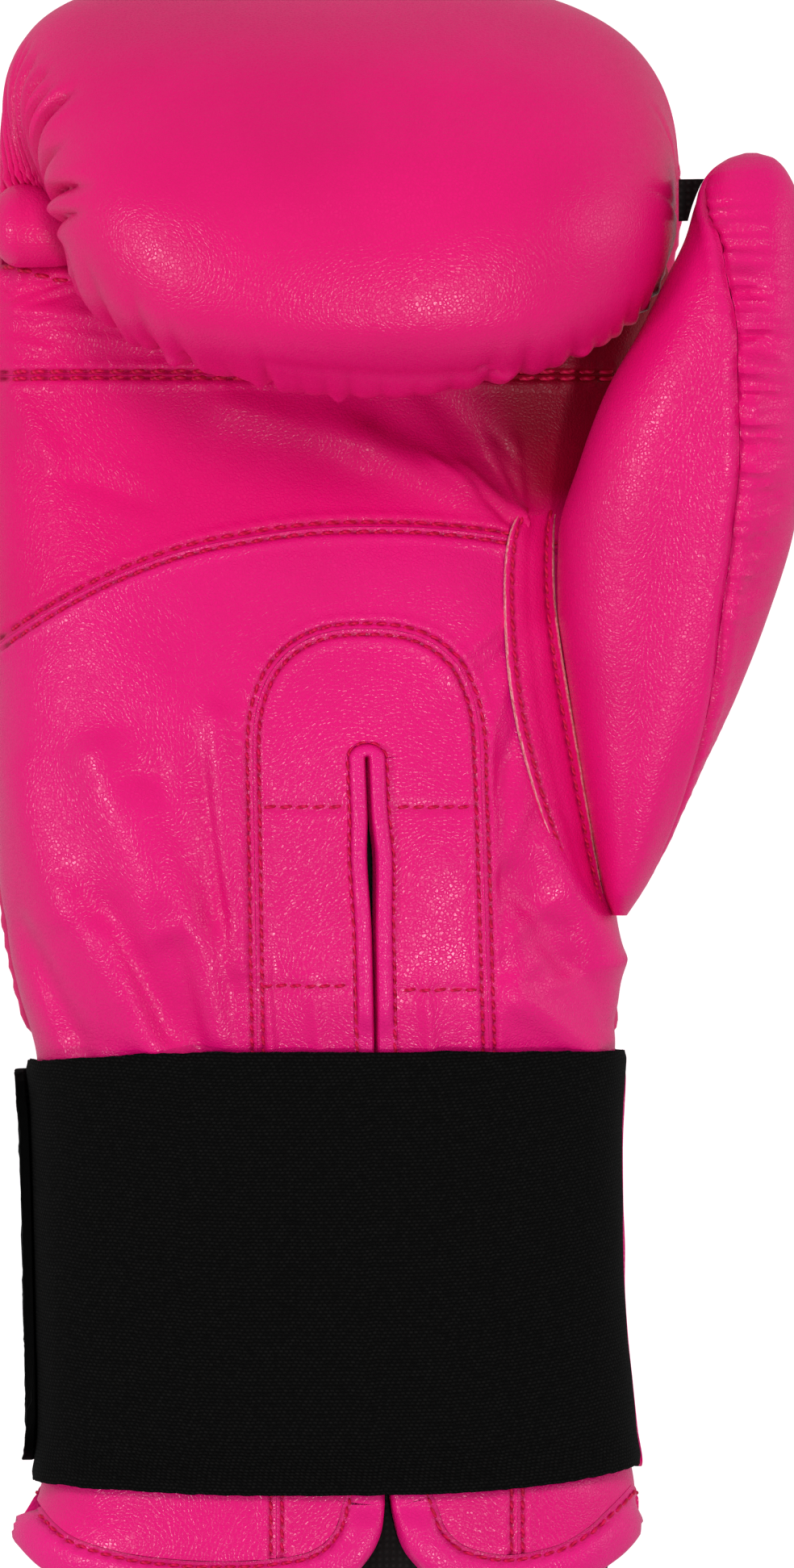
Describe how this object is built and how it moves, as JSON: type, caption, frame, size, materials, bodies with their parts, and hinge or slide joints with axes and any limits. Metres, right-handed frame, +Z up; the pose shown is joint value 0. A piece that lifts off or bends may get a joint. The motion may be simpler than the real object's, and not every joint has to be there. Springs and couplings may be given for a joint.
{
  "type": "kickboxing glove",
  "caption": "Padded right-hand kickboxing glove lying palm up: curled mitt, attached thumb, slit heel insert and a wide elastic wrist strap, hollow and open at the cuff.",
  "frame": {"origin": "on the surface that the glove rests on, under the middle of its bounding box", "axes": "+Y from the cuff to the knuckles, +X to the thumb's side, +Z up, out of the palm; the glove lies on its back"},
  "size_m": [0.1417, 0.2824, 0.1133],
  "materials": {
    "pink_leather": "semi-gloss, fine pebble grain",
    "black_elastic": "matt woven elastic",
    "black_hook_loop": "matt, fuzzy",
    "black_lining": "matt cloth"
  },
  "bodies": {
    "root": {"mitt_shell": "pink_leather", "curl_lining": "pink_leather", "grip_roll": "pink_leather", "finger_panel": "pink_leather", "palm_panel": "pink_leather", "heel_panel": "pink_leather", "slit_panel": "pink_leather", "slit_binding": "pink_leather", "cuff_back": "pink_leather", "cuff_back_binding": "pink_leather", "lining": "black_lining", "thumb_pad": "pink_leather", "thumb_panel": "pink_leather", "thumb_strip": "pink_leather", "thumb_tab": "black_lining", "wrist_strap": "black_elastic", "closure_tab": "black_hook_loop", "strap_anchor": "pink_leather"}
  },
  "joints": []
}
